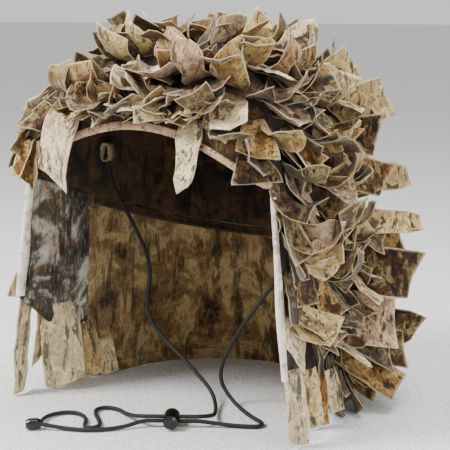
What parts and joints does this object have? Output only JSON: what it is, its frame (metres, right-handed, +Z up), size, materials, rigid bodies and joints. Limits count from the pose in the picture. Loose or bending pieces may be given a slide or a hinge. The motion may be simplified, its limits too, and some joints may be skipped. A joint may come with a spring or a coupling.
{
  "type": "camouflage hood mask",
  "caption": "Open-faced cloth hood covered in rows of cut leaf strips, with a chin cord, squeeze lock and end bead.",
  "frame": {"origin": "on the surface that the hem stands on, in the middle of the head opening", "axes": "+Z up through the crown, -Y out of the face opening, +X towards the wearer's left"},
  "size_m": [0.2946, 0.3089, 0.3177],
  "materials": {
    "leaf_cloth": "printed leaf-cut cloth",
    "hood_cloth": "printed woven cloth",
    "headband_cloth": "soft dark cloth",
    "brow_piping": "folded pale piping",
    "binding_tape": "pale tape",
    "braided_cord": "black braid",
    "lock_plastic": "moulded black",
    "button_plastic": "moulded black",
    "spring_wire": "drawn wire"
  },
  "bodies": {
    "hood": {"back_drape": "hood_cloth", "back_hem_leaves": "leaf_cloth", "back_leaves_lower": "leaf_cloth", "back_leaves_middle": "leaf_cloth", "back_leaves_upper": "leaf_cloth", "brow_leaves": "leaf_cloth", "chin_cord_left_run": "braided_cord", "chin_cord_right_run": "braided_cord", "cord_end_bead": "lock_plastic", "cord_tab_left": "binding_tape", "cord_tab_right": "binding_tape", "crown_centre_panel": "hood_cloth", "crown_leaves_lower": "leaf_cloth", "crown_leaves_middle": "leaf_cloth", "crown_leaves_top": "leaf_cloth", "crown_leaves_upper": "leaf_cloth", "crown_left_panel": "hood_cloth", "crown_right_panel": "hood_cloth", "ear_seam_tape_left": "binding_tape", "ear_seam_tape_right": "binding_tape", "forehead_binding": "brow_piping", "front_edge_binding_left": "binding_tape", "front_edge_binding_right": "binding_tape", "front_support_leaves_left": "leaf_cloth", "front_support_leaves_right": "leaf_cloth", "headband": "headband_cloth", "hem_facing_back": "binding_tape", "hem_facing_left": "binding_tape", "hem_facing_right": "binding_tape", "nape_leaves": "leaf_cloth", "nape_seam_tape": "binding_tape", "side_drape_left": "hood_cloth", "side_drape_right": "hood_cloth", "side_leaves_lower_left": "leaf_cloth", "side_leaves_middle_left": "leaf_cloth", "side_leaves_middle_right": "leaf_cloth", "side_leaves_upper_left": "leaf_cloth", "side_leaves_upper_right": "leaf_cloth"},
    "cord_lock": {"cord_lock_barrel": "lock_plastic", "cord_lock_spring": "spring_wire"},
    "lock_button": {"cord_lock_plunger": "button_plastic"},
    "hanging_leaf_left_1": {"hanging_leaf_left_1": "leaf_cloth"},
    "hanging_leaf_left_2": {"hanging_leaf_left_2": "leaf_cloth"},
    "hanging_leaf_left_3": {"hanging_leaf_left_3": "leaf_cloth"},
    "hanging_leaf_right_1": {"hanging_leaf_right_1": "leaf_cloth"},
    "hanging_leaf_right_2": {"hanging_leaf_right_2": "leaf_cloth"},
    "hanging_leaf_right_3": {"hanging_leaf_right_3": "leaf_cloth"}
  },
  "joints": [
    {"name": "cord_lock_slide", "type": "slide", "parent": "hood", "child": "cord_lock", "axis": [0.866, 0.5, 0], "range_m": [-0.008, 0.008]},
    {"name": "lock_button_press", "type": "slide", "parent": "cord_lock", "child": "lock_button", "axis": [-0.5, 0.866, 0], "range_m": [0, 0.0026], "stiffness_N_per_m": 400, "deforming": ["cord_lock_spring"]},
    {"name": "hanging_leaf_left_1_swing", "type": "hinge", "parent": "hood", "child": "hanging_leaf_left_1", "pos_m": [0.12778, -0.05119, 0.055], "axis": [-0.2071, 0.9783, 0], "range_deg": [-35, 3], "stiffness_Nm_per_rad": 0.0004},
    {"name": "hanging_leaf_left_2_swing", "type": "hinge", "parent": "hood", "child": "hanging_leaf_left_2", "pos_m": [0.11968, -0.0006, 0.042], "axis": [-0.148, 0.989, 0], "range_deg": [-35, 3], "stiffness_Nm_per_rad": 0.0004},
    {"name": "hanging_leaf_left_3_swing", "type": "hinge", "parent": "hood", "child": "hanging_leaf_left_3", "pos_m": [0.11659, 0.02257, 0.034], "axis": [-0.1581, 0.9874, 0], "range_deg": [-35, 3], "stiffness_Nm_per_rad": 0.0004},
    {"name": "hanging_leaf_right_1_swing", "type": "hinge", "parent": "hood", "child": "hanging_leaf_right_1", "pos_m": [-0.12584, -0.05042, 0.08], "axis": [-0.1909, -0.9816, 0], "range_deg": [-35, 3], "stiffness_Nm_per_rad": 0.0004},
    {"name": "hanging_leaf_right_2_swing", "type": "hinge", "parent": "hood", "child": "hanging_leaf_right_2", "pos_m": [-0.11929, -0.0006, 0.049], "axis": [-0.148, -0.989, 0], "range_deg": [-35, 3], "stiffness_Nm_per_rad": 0.0004},
    {"name": "hanging_leaf_right_3_swing", "type": "hinge", "parent": "hood", "child": "hanging_leaf_right_3", "pos_m": [-0.11648, 0.02254, 0.036], "axis": [-0.1581, -0.9874, 0], "range_deg": [-35, 3], "stiffness_Nm_per_rad": 0.0004}
  ]
}
